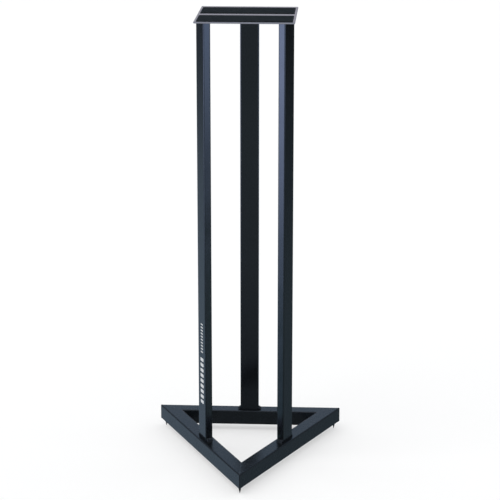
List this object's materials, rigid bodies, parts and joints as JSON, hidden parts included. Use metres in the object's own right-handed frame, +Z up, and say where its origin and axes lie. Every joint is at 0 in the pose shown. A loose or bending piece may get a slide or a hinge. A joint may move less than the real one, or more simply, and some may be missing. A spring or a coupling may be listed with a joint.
{
  "type": "speaker tripod stand",
  "caption": "Fixed-height loudspeaker stand: triangular tube base on floor spikes, tube columns and a flat platform with rubber strips.",
  "frame": {"origin": "on the floor, midway between the base's front corner and its rear face and midway across the base, with the spikes as stored", "axes": "+Z up along the columns, the single front corner of the triangular base towards -Y, the rear rail along X"},
  "size_m": [0.498, 0.508, 1.1755],
  "materials": {
    "black_powder_coat": "satin blue-black powder coat, fine texture",
    "painted_weld": "rippled weld bead under the same powder coat",
    "rubber_strip": "matte, fine ribs",
    "black_zinc_steel": "black zinc plated, turned",
    "zinc_steel": "zinc plated, satin"
  },
  "bodies": {
    "frame": {"base_rail_rear": "black_powder_coat", "base_rail_left": "black_powder_coat", "base_rail_right": "black_powder_coat", "base_corner_weld_front": "painted_weld", "base_corner_weld_left": "painted_weld", "base_corner_weld_right": "painted_weld", "column_rear": "black_powder_coat", "column_left": "black_powder_coat", "column_right": "black_powder_coat", "column_foot_weld_rear": "painted_weld", "column_foot_weld_left": "painted_weld", "column_foot_weld_right": "painted_weld", "column_top_weld_rear": "painted_weld", "column_top_weld_left": "painted_weld", "column_top_weld_right": "painted_weld", "top_plate": "black_powder_coat", "rubber_strip_front": "rubber_strip", "rubber_strip_rear": "rubber_strip", "spike_rivet_nut_front": "zinc_steel", "spike_rivet_nut_left": "zinc_steel", "spike_rivet_nut_right": "zinc_steel"},
    "spike_front": {"floor_spike_front": "black_zinc_steel"},
    "spike_left": {"floor_spike_left": "black_zinc_steel"},
    "spike_right": {"floor_spike_right": "black_zinc_steel"}
  },
  "joints": [
    {"name": "spike_front_screw", "type": "slide", "parent": "frame", "child": "spike_front", "axis": [0, 0, -1], "range_m": [-0.004, 0.01]},
    {"name": "spike_left_screw", "type": "slide", "parent": "frame", "child": "spike_left", "axis": [0, 0, -1], "range_m": [-0.004, 0.01]},
    {"name": "spike_right_screw", "type": "slide", "parent": "frame", "child": "spike_right", "axis": [0, 0, -1], "range_m": [-0.004, 0.01]}
  ]
}
